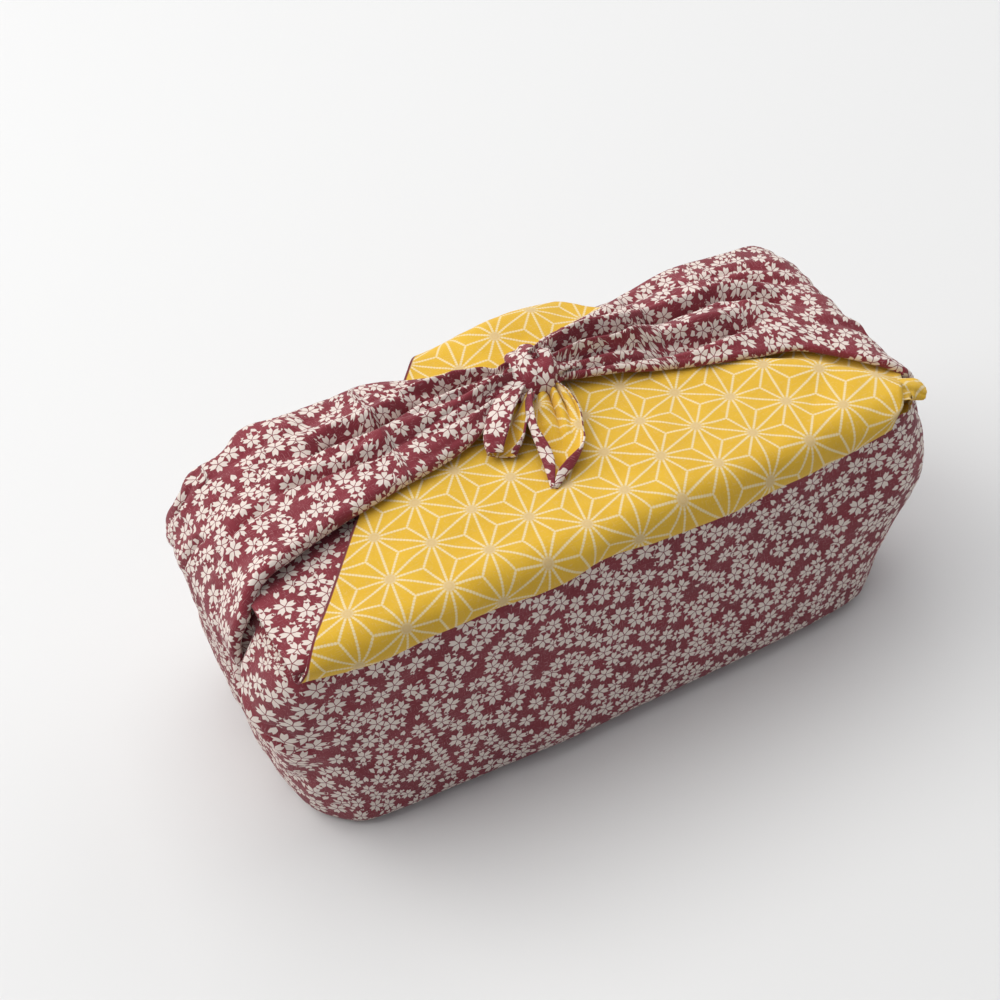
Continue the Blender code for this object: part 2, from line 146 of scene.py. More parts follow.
# %% Node helpers
def made(kind, inputs, **settings):
    """A node with its settings and inputs. At least one input is another node's output."""
    tree = next(value.id_data for value in inputs.values() if isinstance(value, bpy.types.NodeSocket))
    node = tree.nodes.new("ShaderNode" + kind)
    for name, value in settings.items():
        setattr(node, name, value)
    for item, value in inputs.items():
        if isinstance(value, bpy.types.NodeSocket):
            tree.links.new(value, node.inputs[item])
        else:
            node.inputs[item].default_value = value
    return node


def calc(operation, *values):
    """A math node's output."""
    return made("Math", dict(enumerate(values)), operation=operation).outputs[0]


multiply, multiply_add, divide, subtract = (
    functools.partial(calc, name) for name in ("MULTIPLY", "MULTIPLY_ADD", "DIVIDE", "SUBTRACT"))


def calc_vector(operation, *values):
    """A vector math node's output, which is a length or a vector."""
    node = made("VectorMath", dict(enumerate(values)), operation=operation)
    return node.outputs["Value" if operation == "LENGTH" else "Vector"]


def scaled(vector, factor):
    """A vector times one number."""
    return made("VectorMath", {0: vector, "Scale": factor}, operation="SCALE").outputs[0]


def parts_of(vector):
    """X and Y of a vector."""
    node = made("SeparateXYZ", {0: vector})
    return node.outputs[0], node.outputs[1]


def joined(x, y):
    """A flat vector of X and Y."""
    return made("CombineXYZ", {0: x, 1: y}).outputs[0]


def ramp(value, low, high):
    """0 at low, 1 at high, and held beyond them."""
    return made("MapRange", {"Value": value, "From Min": low, "From Max": high}).outputs[0]


def blend_colours(share, first, second):
    """The first colour at 0 and the second at 1."""
    return made("Mix", {0: share, 6: first, 7: second}, data_type="RGBA").outputs[2]


def new_group(name, numbers, outputs):
    """A node group's tree, inputs and outputs. Its first input is a place, and all others are numbers."""
    tree = bpy.data.node_groups.new(name, "ShaderNodeTree")
    tree.interface.new_socket(name="Place", in_out="INPUT", socket_type="NodeSocketVector")
    for way, labels in (("INPUT", numbers), ("OUTPUT", outputs)):
        for label in labels:
            tree.interface.new_socket(name=label, in_out=way, socket_type="NodeSocketFloat")
    return tree, tree.nodes.new("NodeGroupInput").outputs, tree.nodes.new("NodeGroupOutput").inputs


def placed_group(group, **values):
    """The outputs of a group that is placed in the tree of its inputs."""
    return made("Group", values, node_tree=group).outputs


print("node helpers ready")

# %% [markdown]
# ## The cherry blossom print
# Each blossom has five oval petals, and each petal ends in a notch between two points. A Voronoi texture
# scatters the centres. Round each centre the angle is folded five times, so one petal's formula draws all
# five. A dark line as fine as a thread stays open between neighbouring petals.

# %% One scattered layer of blossoms
def cell_texture(place, shuffle, feature):
    """A flat Voronoi texture."""
    return made("TexVoronoi", {"Vector": place, "Randomness": shuffle, "Scale": 1.0},
                voronoi_dimensions="2D", feature=feature)


def blossom_layer():
    tree, given, result = new_group("blossom_layer", ["Spacing", "Radius", "Shuffle"],
                                    ["Petals", "Disc", "One Petal"])
    where = scaled(given["Place"], divide(1.0, given["Spacing"]))
    centres = cell_texture(where, given["Shuffle"], "F1")
    borders = cell_texture(where, given["Shuffle"], "DISTANCE_TO_EDGE")
    chance = made("SeparateColor", {0: centres.outputs["Color"]}).outputs
    local = scaled(calc_vector("SUBTRACT", where, centres.outputs["Position"]), given["Spacing"])
    x, y = parts_of(local)
    size = multiply(multiply_add(chance[1], 0.20, 0.84), given["Radius"])
    reach = divide(calc_vector("LENGTH", local), size)
    fifth = 2 * math.pi / 5
    turns = divide(multiply_add(chance[0], 2 * math.pi, calc("ARCTAN2", y, x)), fifth)
    folded = multiply(subtract(calc("FRACT", turns), 0.5), fifth)
    along = multiply(reach, calc("COSINE", folded))
    across = calc("ABSOLUTE", multiply(reach, calc("SINE", folded)))
    middle, half_long, half_wide = 0.60, 0.55, 0.285     # a petal's oval, as shares of the blossom's radius
    oval = calc_vector("LENGTH", joined(multiply_add(along, 1 / half_long, -middle / half_long),
                                        divide(across, half_wide)))
    notch = subtract(multiply_add(across, 0.95, 0.80), along)
    gap = subtract(multiply_add(along, 0.7265, -0.045), across)
    petal = calc("MINIMUM", multiply_add(oval, -half_wide, half_wide), multiply(notch, 0.72))
    petal = ramp(calc("MINIMUM", petal, gap), -0.015, 0.025)
    petals = multiply(petal, ramp(multiply(borders.outputs["Distance"], given["Spacing"]), 0.00008, 0.00022))
    number = calc("MODULO", calc("FLOOR", calc("ADD", turns, 10.0)), 5.0)
    tree.links.new(petals, result["Petals"])
    tree.links.new(ramp(reach, 1.04, 1.00), result["Disc"])
    tree.links.new(multiply(petals, calc("LESS_THAN", number, 0.5)), result["One Petal"])
    return tree


BLOSSOM_LAYER = blossom_layer()
print("blossom layer:", len(BLOSSOM_LAYER.nodes), "nodes")

# %% [markdown]
# The real print is crowded, with blossoms half hidden behind others and loose petals in the gaps. So two
# layers of blossoms lie one under the other, and a layer of single petals fills what they leave free.

# %% The whole blossom print
def turned(place, degrees, shift=(0.0, 0.0, 0.0)):
    """A place turned and shifted, so that no row of blossoms follows an edge or another layer."""
    angles = (0.0, 0.0, math.radians(degrees))
    return made("Mapping", {"Vector": place, "Rotation": angles, "Location": shift}).outputs[0]


def blossom_print():
    tree, given, result = new_group("blossom_print", [], ["Cream"])
    place = turned(given["Place"], 27.0)
    front, behind, loose = (
        placed_group(BLOSSOM_LAYER, Place=where, Spacing=spacing, Radius=radius, Shuffle=shuffle)
        for where, spacing, radius, shuffle in (
            (place, 0.0076, 0.0032, 0.50),
            (turned(place, 41.0, (0.1434, 0.2871, 0.0)), 0.0080, 0.0031, 0.58),
            (turned(place, 17.0, (0.3719, 0.1113, 0.0)), 0.0050, 0.0030, 0.70)))
    past_front = subtract(1.0, front["Disc"])
    past_both = multiply(past_front, subtract(1.0, behind["Disc"]))
    cream = multiply_add(behind["Petals"], past_front, front["Petals"])
    cream = multiply_add(loose["One Petal"], past_both, cream)
    tree.links.new(calc("MINIMUM", cream, 1.0), result["Cream"])
    return tree


BLOSSOM_PRINT = blossom_print()
print("blossom print:", len(BLOSSOM_PRINT.nodes), "nodes")

# %% [markdown]
# ## The hemp-leaf print
# The hemp leaf is a lattice of stars. Each star sends out twelve dotted rays, one every thirty degrees: six
# run to the neighbouring stars, and six to the points where three rays meet. A point is first moved into
# the cell of its nearest star, by comparing two rectangular lattices that lie between each other, and
# then the angle is folded twelve times.

# %% Hemp-leaf lattice
def nearest_offset(place, period, start):
    """Offset of a place from the nearest corner of a rectangular lattice."""
    half = (0.5, 0.5, 0.0)
    counted = calc_vector("DIVIDE", calc_vector("SUBTRACT", place, start), period)
    share = calc_vector("FRACTION", calc_vector("ADD", counted, half))
    return calc_vector("MULTIPLY", calc_vector("SUBTRACT", share, half), period)


def hemp_leaf_print():
    tree, given, result = new_group("hemp_leaf_print", [], ["Lines", "Heart"])
    period = (STAR_GAP, STAR_GAP * math.sqrt(3), 1.0)
    first = nearest_offset(given["Place"], period, (0.0, 0.0, 0.0))
    second = nearest_offset(given["Place"], period, (period[0] / 2, period[1] / 2, 0.0))
    first_far, second_far = calc_vector("LENGTH", first), calc_vector("LENGTH", second)
    pick = calc("GREATER_THAN", first_far, second_far)
    x, y = parts_of(made("Mix", {0: pick, 4: first, 5: second}, data_type="VECTOR").outputs[1])
    reach = calc("MINIMUM", first_far, second_far)
    twelfth = math.pi / 6
    turns = multiply_add(calc("ARCTAN2", y, x), 1.0 / twelfth, 0.5)
    folded = multiply(subtract(calc("FRACT", turns), 0.5), twelfth)
    along = multiply(reach, calc("COSINE", folded))
    across = multiply(reach, calc("SINE", folded))
    dot_gap = STAR_GAP / 18.0
    beside = multiply(subtract(calc("FRACT", divide(along, dot_gap)), 0.5), dot_gap * 0.85)
    dots = ramp(calc_vector("LENGTH", joined(across, beside)), 0.00048, 0.00031)
    thread = multiply(ramp(calc("ABSOLUTE", across), 0.00050, 0.00026), 0.18)
    tree.links.new(calc("MAXIMUM", dots, thread), result["Lines"])
    tree.links.new(ramp(reach, 0.0021, 0.0013), result["Heart"])
    return tree


HEMP_LEAF_PRINT = hemp_leaf_print()
print("hemp-leaf print:", len(HEMP_LEAF_PRINT.nodes), "nodes")

# %% [markdown]
# ## Weave and slubs
# Both faces are plain-woven cotton. Crossing sine waves give the threads' relief, a noise makes it uneven,
# and stretched noise lifts single thicker threads, the slubs, which catch the light as short pale dashes.

# %% Weave group
THREAD_GAP = 0.00042      # from one thread to the next, in metres


def noise_value(place, scale, detail):
    """A flat noise texture's value."""
    inputs = {"Vector": place, "Scale": scale, "Detail": detail}
    return made("TexNoise", inputs, noise_dimensions="2D").outputs[0]


def weave():
    tree, given, result = new_group("cotton_weave", [], ["Relief", "Slub", "Tone"])
    place = given["Place"]
    warp, weft = (calc("SINE", multiply(part, 2 * math.pi / THREAD_GAP)) for part in parts_of(place))
    crossing = multiply_add(multiply(warp, weft), 0.5, 0.5)
    slubs = [ramp(noise_value(calc_vector("MULTIPLY", place, stretch), 1.0, 1.0), 0.66, 0.76)
             for stretch in ((420.0, 3400.0, 1.0), (3400.0, 420.0, 1.0))]
    slub = calc("MAXIMUM", *slubs)
    relief = multiply_add(slub, 0.5, multiply_add(noise_value(place, 1400.0, 2.0), 0.8, crossing))
    tree.links.new(relief, result["Relief"])
    tree.links.new(slub, result["Slub"])
    tree.links.new(noise_value(place, 60.0, 3.0), result["Tone"])
    return tree


WEAVE = weave()
print("weave:", len(WEAVE.nodes), "nodes")

# %% [markdown]
# ## The two faces of the cloth
# Both materials read a UV map named print, in metres along the cloth, so that the print and the weave
# keep their size and follow the folds. A second map named hem holds the distance from the hem. The last
# 0.7 mm of the yellow face is the burgundy edge of the hem.

# %% Cloth materials
BURGUNDY = (0.285, 0.038, 0.053, 1.0)
DEEP_BURGUNDY = (0.172, 0.018, 0.029, 1.0)
PALE_RED = (0.62, 0.33, 0.34, 1.0)
CREAM = (0.80, 0.70, 0.63, 1.0)
YELLOW = (0.81, 0.50, 0.038, 1.0)
DEEP_YELLOW = (0.74, 0.42, 0.024, 1.0)
PALE_THREAD = (0.85, 0.69, 0.39, 1.0)
TAN = (0.70, 0.48, 0.20, 1.0)


def uv_place(tree, name):
    """A UV map's coordinates."""
    node = tree.nodes.new("ShaderNodeUVMap")
    node.uv_map = name
    return node.outputs[0]


def cotton(name, paint):
    """A matte cotton with the weave's relief. paint colours it from the print's place."""
    material = bpy.data.materials.new(name)
    material.use_nodes = True
    tree = material.node_tree
    shader = tree.nodes["Principled BSDF"].inputs
    for label, value in (("Roughness", 0.86), ("Specular IOR Level", 0.25), ("Sheen Weight", 0.16),
                         ("Sheen Roughness", 0.5)):
        shader[label].default_value = value
    place = uv_place(tree, "print")
    threads = placed_group(WEAVE, Place=place)
    tree.links.new(paint(place, threads), shader["Base Color"])
    relief = made("Bump", {"Strength": 0.8, "Distance": 0.00012, "Height": threads["Relief"]})
    tree.links.new(relief.outputs[0], shader["Normal"])
    return material


def paint_blossoms(place, threads):
    ground = blend_colours(threads["Tone"], DEEP_BURGUNDY, BURGUNDY)
    ground = blend_colours(multiply(threads["Slub"], 0.30), ground, PALE_RED)
    return blend_colours(placed_group(BLOSSOM_PRINT, Place=place)["Cream"], ground, CREAM)


def paint_hemp_leaf(place, threads):
    laid = made("Mapping", {"Vector": place, "Location": (-0.0804, -0.0376, 0.0),
                            "Rotation": (0.0, 0.0, math.radians(-39.6))}, vector_type="TEXTURE")
    lattice = placed_group(HEMP_LEAF_PRINT, Place=laid.outputs[0])
    colour = blend_colours(threads["Tone"], DEEP_YELLOW, YELLOW)
    colour = blend_colours(multiply(threads["Slub"], 0.20), colour, PALE_THREAD)
    colour = blend_colours(lattice["Lines"], colour, PALE_THREAD)
    colour = blend_colours(multiply(lattice["Heart"], 0.75), colour, TAN)
    from_hem, _ = parts_of(uv_place(place.id_data, "hem"))
    return blend_colours(ramp(from_hem, 0.00085, 0.00055), colour, DEEP_BURGUNDY)


blossom_cotton = cotton("blossom_cotton", paint_blossoms)
hemp_leaf_cotton = cotton("hemp_leaf_cotton", paint_hemp_leaf)
print("materials:", blossom_cotton.name, hemp_leaf_cotton.name)

# %% [markdown]
# ## The soft box under the cloth
# A point is first placed on a plain box with sharp edges, where its unfolded coordinates are easy to
# read. Then the corners are rounded and the sides swell, as cloth lies. A piece that lies higher is lifted
# along the surface's own direction.

# %% Rounding and swelling
def ease(value):
    """A soft step from 0 to 1, for whole arrays."""
    value = np.clip(value, 0.0, 1.0)
    return value * value * (3.0 - 2.0 * value)


def between(value, places, sizes):
    """A smooth curve through a table's points, for whole arrays."""
    places, sizes = np.asarray(places, float), np.asarray(sizes, float)
    slopes = np.gradient(sizes, places)
    index = np.clip(np.searchsorted(places, value) - 1, 0, len(places) - 2)
    width = places[index + 1] - places[index]
    t = np.clip((value - places[index]) / width, 0.0, 1.0)
    start, end = sizes[index], sizes[index + 1]
    return ((2 * t ** 3 - 3 * t ** 2 + 1) * start + (t ** 3 - 2 * t ** 2 + t) * width * slopes[index]
            + (3 * t ** 2 - 2 * t ** 3) * end + (t ** 3 - t ** 2) * width * slopes[index + 1])


def unit(vectors):
    return vectors / np.maximum(np.linalg.norm(vectors, axis=1, keepdims=True), 1e-12)


def line_run(line):
    """How far along a line of points each point lies."""
    return np.cumsum(np.linalg.norm(np.diff(line, axis=0, prepend=line[:1]), axis=1))


def on_arc(first, second):
    """A square corner's two offsets, moved onto a quarter circle."""
    reach = np.maximum(first, second)
    size = np.maximum(np.hypot(first, second), 1e-9)
    return first / size * reach, second / size * reach


def soften(points, level):
    """Round a sharp box's corners, top edges and foot."""
    x, y, z = points.T
    middle_x = np.clip(x, -(HALF_LENGTH - CORNER), HALF_LENGTH - CORNER)
    middle_y = np.clip(y, -(HALF_DEPTH - CORNER), HALF_DEPTH - CORNER)
    out_x, out_y = x - middle_x, y - middle_y
    reach = np.maximum(abs(out_x), abs(out_y))
    size = np.maximum(np.hypot(out_x, out_y), 1e-9)
    way_x, way_y = out_x / size, out_y / size
    end_edge = np.where(x < 0, END_EDGE + 0.0050, END_EDGE - 0.0035)
    radius = LONG_EDGE + (end_edge - LONG_EDGE) * way_x ** 2
    radius = np.where(z < level / 2, FOOT, radius)
    past = np.maximum(0.0, reach - (CORNER - radius))
    beyond = np.maximum(0.0, np.where(z < level / 2, FOOT - z, z - (level - radius)))
    past_round, beyond_round = on_arc(past, beyond)
    run = reach - past + past_round
    height = np.where(z < level / 2, z + beyond - beyond_round, z - beyond + beyond_round)
    return np.stack([middle_x + way_x * run, middle_y + way_y * run, height], 1)


def swell(points):
    """Full sides, drawn-in toes, sagging far corners and a gather at the near right corner."""
    x, y, z = points.T
    level = np.clip(z / TOP, 0.0, 1.0)
    rise = np.sin(np.pi * level ** 0.75)
    end = np.clip(abs(x) / HALF_LENGTH, 0.0, 1.0)
    edge = np.clip(abs(y) / HALF_DEPTH, 0.0, 1.0)
    wide = 1.0 + 0.0045 / HALF_LENGTH * (1.0 - edge ** 4) * rise
    deep = 1.0 + 0.0032 / HALF_DEPTH * (1.0 - end ** 3) * rise
    toe = 1.0 - 0.115 * end ** 6 * edge ** 4 * (1.0 - level) ** 1.4
    left_sag = 0.0022 * ease((y + 0.030) / 0.030) + 0.0150 * (y > 0) * edge ** 1.4
    sag = np.where(x > 0, 0.0065 * (y > 0) * edge ** 3, left_sag) * end ** 5 * ease((level - 0.6) / 0.4)
    gather = 0.0092 * np.exp(-((y + 0.038) / 0.022) ** 2 - ((z - 0.048) / 0.022) ** 2)
    gather = gather * ease((end - 0.7) / 0.3) * (x > 0)
    drawn_in = 0.0040 * (1.0 - level) ** 1.3 * end ** 4 * (1.0 - 0.6 * edge ** 8) * (x < 0)
    spread = 0.0020 * (1.0 - level) * edge ** 4 * (y < 0) * ease((x + 0.070) / 0.060)
    return np.stack([x * wide * toe + gather + drawn_in, y * deep * toe - spread, z - sag], 1)


def sharp_place(a, b):
    """From coordinates unfolded over the top and the ends to a place on the sharp box.

    a runs from the middle over an end and down it; b runs across, and round the upright corners.
    """
    side = np.sign(a)
    over_a = np.maximum(0.0, abs(a) - HALF_LENGTH)
    over_b = np.maximum(0.0, abs(b) - HALF_DEPTH)
    y = np.clip(b, -HALF_DEPTH, HALF_DEPTH)
    lidded = np.stack([np.clip(a, -HALF_LENGTH, HALF_LENGTH), y, TOP - over_b], 1)
    walled = np.stack([side * (HALF_LENGTH - over_b), y, TOP - over_a], 1)
    return lidded + (walled - lidded) * ease(over_a / 0.012)[:, None]


def bundle_surface(a, b):
    """Place and outward direction on the soft bundle."""
    step = 0.0006

    def at(u, v):
        return swell(soften(sharp_place(u, v), TOP))

    place = at(a, b)
    along = at(a + step, b) - at(a - step, b)
    across = at(a, b + step) - at(a, b - step)
    return place, unit(np.cross(along, across))


print("soft box ready")

# %% [markdown]
# ## Folds placed one by one
# A fold is a line of points in the unfolded coordinates. The cloth sinks along it and swells a little on
# both sides. A fold can also have a step, where the cloth on one side stands over the other. Folds that
# come from the knot start deep and fade out.

# %% Folds and crumple
def line_offsets(a, b, line):
    """Signed distance to a line of points, and how far along it the nearest place is, from 0 to 1."""
    line = np.asarray(line, float)
    best = np.full(a.shape, 1e9)
    signed = np.zeros(a.shape)
    run = np.zeros(a.shape)
    lengths = np.linalg.norm(np.diff(line, axis=0), axis=1)
    travelled = 0.0
    for start, end, length in zip(line, line[1:], lengths):
        way = (end - start) / length
        off_a, off_b = a - start[0], b - start[1]
        t = np.clip((off_a * way[0] + off_b * way[1]) / length, 0.0, 1.0)
        near_a, near_b = off_a - t * length * way[0], off_b - t * length * way[1]
        distance = np.hypot(near_a, near_b)
        closer = distance < best
        side = np.where(way[0] * off_b - way[1] * off_a >= 0, 1.0, -1.0)
        best = np.where(closer, distance, best)
        signed = np.where(closer, distance * side, signed)
        run = np.where(closer, travelled + t * length, run)
        travelled += length
    return signed, run / travelled


def fold(depth, width, *line, step=0.0, fade=0.0):
    """A fold from sizes in millimetres. With fade it starts at its full depth and ends over that share."""
    return np.array(line) / 1000, depth / 1000, width / 1000, step / 1000, fade


def fold_height(a, b, folds):
    """Height of the cloth over its smooth shape that a list of folds gives."""
    height = np.zeros(a.shape)
    for line, depth, width, step, fade in folds:
        signed, run = line_offsets(a, b, line)
        distance = abs(signed)
        shape = -depth * np.exp(-(distance / width) ** 1.25)
        shape += 0.42 * depth * np.exp(-((distance - 2.2 * width) / (1.3 * width)) ** 2)
        shape += np.where(signed > 0, step * np.exp(-distance / (5 * width)), 0.0)
        if fade:
            height += shape * ease((1.0 - run) / fade)
        else:
            height += shape * np.sin(np.pi * np.clip(run, 0.001, 0.999)) ** 0.6
    return height


def crumple(points, size, depth, seed):
    """Soft random unevenness, the same in each run."""
    shift = Vector((seed * 7.31, seed * 3.17, seed * 1.73))
    made = [noise.fractal(Vector(point) / size + shift, 0.9, 2.1, 3) for point in points]
    return depth * np.array(made)


def run_along_rows(u, v, places):
    """How far along its own row each vertex lies, measured on the cloth from the row's middle."""
    order = np.lexsort((u, np.round(v, 5)))
    rows = places[order].reshape(-1, len(np.unique(np.round(u, 5))), 3)
    run = np.cumsum(np.linalg.norm(np.diff(rows, axis=1, prepend=rows[:, :1]), axis=2), axis=1)
    measured = np.empty(len(u))
    measured[order] = (run - run[:, [run.shape[1] // 2]]).ravel()
    return measured


def run_down_middle(u, v, places):
    """How far each row lies from the last one, measured on the cloth along the middle column."""
    middle = np.flatnonzero(abs(u - 0.5) < 1e-4)
    middle = middle[np.argsort(v[middle])]
    run = line_run(places[middle])
    return np.interp(v, v[middle], run[-1] - run)


print("folds ready")

# %% [markdown]
# ## From a grid to a piece of cloth
# Each sheet starts as a plain grid. Its vertices are then moved to where a shape function puts them, and
# the same function gives the print's coordinates.

# %% Cloth from a grid
def link_piece(bm, name, materials):
    """A bmesh as an object with smooth faces, which rides on the bundle and stands for its cloth."""
    for face in bm.faces:
        face.smooth = True
    mesh = bpy.data.meshes.new(name)
    bm.to_mesh(mesh)
    bm.free()
    for material in materials:
        mesh.materials.append(material)
    piece = bpy.data.objects.new(name, mesh)
    bpy.context.scene.collection.objects.link(piece)
    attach(piece, "root")
    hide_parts("furoshiki_cloth")
    return piece


def write_maps(bm, of_corner):
    """Write the print coordinates and the distance from the hem at each face's corners."""
    print_map = bm.loops.layers.uv.new("print")
    hem_map = bm.loops.layers.uv.new("hem")
    for face in bm.faces:
        for loop in face.loops:
            loop[print_map].uv, hem = of_corner(face, loop.vert)
            loop[hem_map].uv = (hem, 0.0)


def move(bm, places):
    """Put each vertex at its new place."""
    for vert, place in zip(bm.verts, places):
        vert.co = place


def grid_sheet(name, columns, rows, shape, materials, thickness=0.0, flip=False, smooth=0, closed=False):
    """A grid laid by shape(u, v), which returns places, print coordinates and hem distances."""
    bm = bmesh.new()
    bmesh.ops.create_grid(bm, x_segments=columns, y_segments=rows, size=0.5)
    bm.verts.ensure_lookup_table()
    u = np.clip(np.array([vert.co.x for vert in bm.verts]) + 0.5, 0.0, 1.0)
    v = np.clip(np.array([vert.co.y for vert in bm.verts]) + 0.5, 0.0, 1.0)
    places, charts, hems = shape(u, v)
    move(bm, places + CENTRING)
    write_maps(bm, lambda face, vert: (charts[vert.index], hems[vert.index]))
    if closed:
        bmesh.ops.remove_doubles(bm, verts=bm.verts, dist=1e-6)
    for _ in range(smooth):
        bmesh.ops.smooth_vert(bm, verts=bm.verts, factor=0.5, use_axis_x=True, use_axis_y=True,
                              use_axis_z=True)
    if flip:
        bmesh.ops.reverse_faces(bm, faces=bm.faces)
    piece = link_piece(bm, name, materials)
    if thickness:
        shell = piece.modifiers.new("thickness", "SOLIDIFY")
        shell.thickness = thickness
        shell.offset = 0.0
        shell.material_offset = shell.material_offset_rim = len(materials) - 1
    print(name, "quads:", columns * rows)
    return piece


NO_HEM = 0.05             # a hem distance that shows no hem

# %% [markdown]
# ## The sides and floor
# The middle of the square makes the floor and the lowest layer of all sides. It starts as a cube, is cut
# into small squares and then softened. The lid's hidden middle is cut out, because no cloth is there.

# %% Wrapped sides
RIDGE = np.array(((56, -1), (62.2, -5.7), (71.1, -11.8), (79.6, -18.6), (87.7, -26.2), (94.2, -34.4),
                  (98.5, -44))) / 1000


def ridge_height(x, y):
    """The flap stands up along a ridge near its right end and slopes down behind it."""
    signed, run = line_offsets(x, y, RIDGE)
    fade = ease(run / 0.35)
    before = 0.0014 * np.exp(-(signed / 0.009) ** 2)
    behind = 0.0014 - 0.0036 * ease(signed / 0.0065)
    return np.where(signed > 0, behind, before) * fade


# The near left corner is full. Beside it the cloth dives under the wing, along a fold on the left end.
END_FOLDS = [
    fold(4.6, 1.7, (-20, 78), (-21.2, 68), (-24, 61.5), (-30, 55.5), (-37, 50), (-44, 44)),
    fold(1.2, 2.4, (-44, 40), (-39, 28), (-30, 18)),
]


def round_corner(value, half):
    """A coordinate along a wall, shortened to the cloth's run where the wall bends round its corners."""
    past = max(0.0, abs(value) - (half - CORNER))
    return math.copysign(abs(value) - past + CORNER * math.atan(past / CORNER), value)


def sides_chart(normal, x, y, z):
    """Print coordinates on one side of the sharp box."""
    half_x, half_y = round_corner(HALF_LENGTH, HALF_LENGTH), round_corner(HALF_DEPTH, HALF_DEPTH)
    if abs(normal.z) > 0.5:
        return (x, y) if normal.z > 0 else (x, -y + 0.2)
    if abs(normal.x) > 0.5:
        side = 1.0 if normal.x > 0 else -1.0
        return side * (half_x + round_corner(y, HALF_DEPTH) + half_y), z - TOP - HALF_DEPTH
    if normal.y > 0.5:
        return -round_corner(x, HALF_LENGTH) + 0.31, z - TOP - HALF_DEPTH
    return round_corner(x, HALF_LENGTH), z - TOP - HALF_DEPTH


CUTS = (130, 76, 66)      # along the length, the depth and the height
HOLE = (0.066, 0.026)     # half the length and depth of the lid's missing middle


def make_sides():
    bm = bmesh.new()
    bmesh.ops.create_cube(bm, size=1.0)
    bmesh.ops.scale(bm, vec=(2 * HALF_LENGTH, 2 * HALF_DEPTH, SIDE_LEVEL), verts=bm.verts)
    bmesh.ops.translate(bm, vec=(0.0, 0.0, SIDE_LEVEL / 2), verts=bm.verts)
    for axis, cuts in enumerate(CUTS):
        lengthwise = [edge for edge in bm.edges
                      if abs((edge.verts[0].co - edge.verts[1].co).normalized()[axis]) > 0.9]
        bmesh.ops.subdivide_edges(bm, edges=lengthwise, cuts=cuts, use_grid_fill=True)
    middles = [(face, face.calc_center_median()) for face in bm.faces if face.normal.z > 0.5]
    hidden = [face for face, middle in middles if abs(middle.x) < HOLE[0] and abs(middle.y) < HOLE[1]]
    bmesh.ops.delete(bm, geom=hidden, context="FACES")
    bm.normal_update()
    write_maps(bm, lambda face, vert: (sides_chart(face.normal, *vert.co), NO_HEM))
    sharp = np.array([vert.co for vert in bm.verts])
    soft = swell(soften(sharp, SIDE_LEVEL))
    move(bm, soft)
    bm.normal_update()
    out = np.array([vert.normal for vert in bm.verts])
    standing = ease(sharp[:, 2] / 0.012)
    height = crumple(soft, 0.030, 0.0016, 1) + crumple(soft, 0.011, 0.0005, 2)
    height *= 1.0 - 0.7 * ease((sharp[:, 2] - SIDE_LEVEL + 0.010) / 0.010)
    left_end = ease((-sharp[:, 0] - HALF_LENGTH + 0.012) / 0.012)
    height += fold_height(soft[:, 1], soft[:, 2], END_FOLDS) * left_end
    full = np.exp(-((soft[:, 1] + 0.037) / 0.013) ** 2 - ((soft[:, 2] - 0.061) / 0.022) ** 2)
    height += 0.0038 * full * ease((-soft[:, 0] - 0.090) / 0.012)
    soft[:, 2] += np.minimum(ridge_height(soft[:, 0], soft[:, 1]), 0.0) * (sharp[:, 2] > SIDE_LEVEL - 1e-6)
    places = soft + out * (height * standing)[:, None] + CENTRING
    places[:, 2] = np.maximum(places[:, 2], 0.0)
    move(bm, places)
    print("wrapped sides:", len(bm.faces), "quads")
    return link_piece(bm, "wrapped_sides", [blossom_cotton])


wrapped_sides = make_sides()

# %% [markdown]
# ## The turned-back flap
# The far corner of the square comes over the top, turns back on itself along the near edge and shows its
# yellow face. Its two hems slant towards the corner, which hangs over the far edge.

# %% Section of the turned-back flap
FOLD_Y = HALF_DEPTH + 0.0016     # how far out the turned-back fold stands
HEM_LEFT, HEM_RIGHT = -0.1038, 0.0965
HEM_SLOPE, RIGHT_SLOPE = 1.23, 0.985
HEM_APEX = (0.0029, 0.0771)      # where the two hems meet, x and the flat cloth's y
FLAP_LEVEL = TOP + 0.0003
FOLD_FOOT = TOP - 0.0089         # where the fold turns back up
FAR_BEND = 0.0060


def arc(centre, radii, turns, count):
    """Places on part of an ellipse. turns holds its first and last angle in degrees."""
    return [(centre[0] + radii[0] * math.cos(angle), centre[1] + radii[1] * math.sin(angle))
            for angle in np.radians(np.linspace(*turns, count))]


def flap_section():
    """Points (y, z) from under the fold, round it, over the top and down the far side."""
    points = [(0.010 - step * (HALF_DEPTH - 0.0015) / 8 * 0.985, FLAP_LEVEL - 0.0022) for step in range(9)]
    radius, inner = 0.0065, 0.0049
    centre = (-HALF_DEPTH + radius - 0.0016, FLAP_LEVEL - radius)
    points += arc(centre, (inner, inner), (90, 180), 9)
    points += arc((-FOLD_Y + 0.0008, FOLD_FOOT), (0.0008, 0.0011), (0, -180), 9)
    points += arc(centre, (radius, radius), (180, 90), 13)
    far_y, far_z = HALF_DEPTH - 0.0012, FLAP_LEVEL - FAR_BEND
    points += [(y, FLAP_LEVEL) for y in np.linspace(centre[0], far_y, 46)[1:]]
    points += arc((far_y, far_z), (FAR_BEND, FAR_BEND), (90, 0), 11)[1:]
    points += [(far_y + FAR_BEND - 0.05 * (far_z - z), z)
               for z in np.linspace(far_z, FLAP_LEVEL - 0.0286, 13)[1:]]
    return np.array(points)


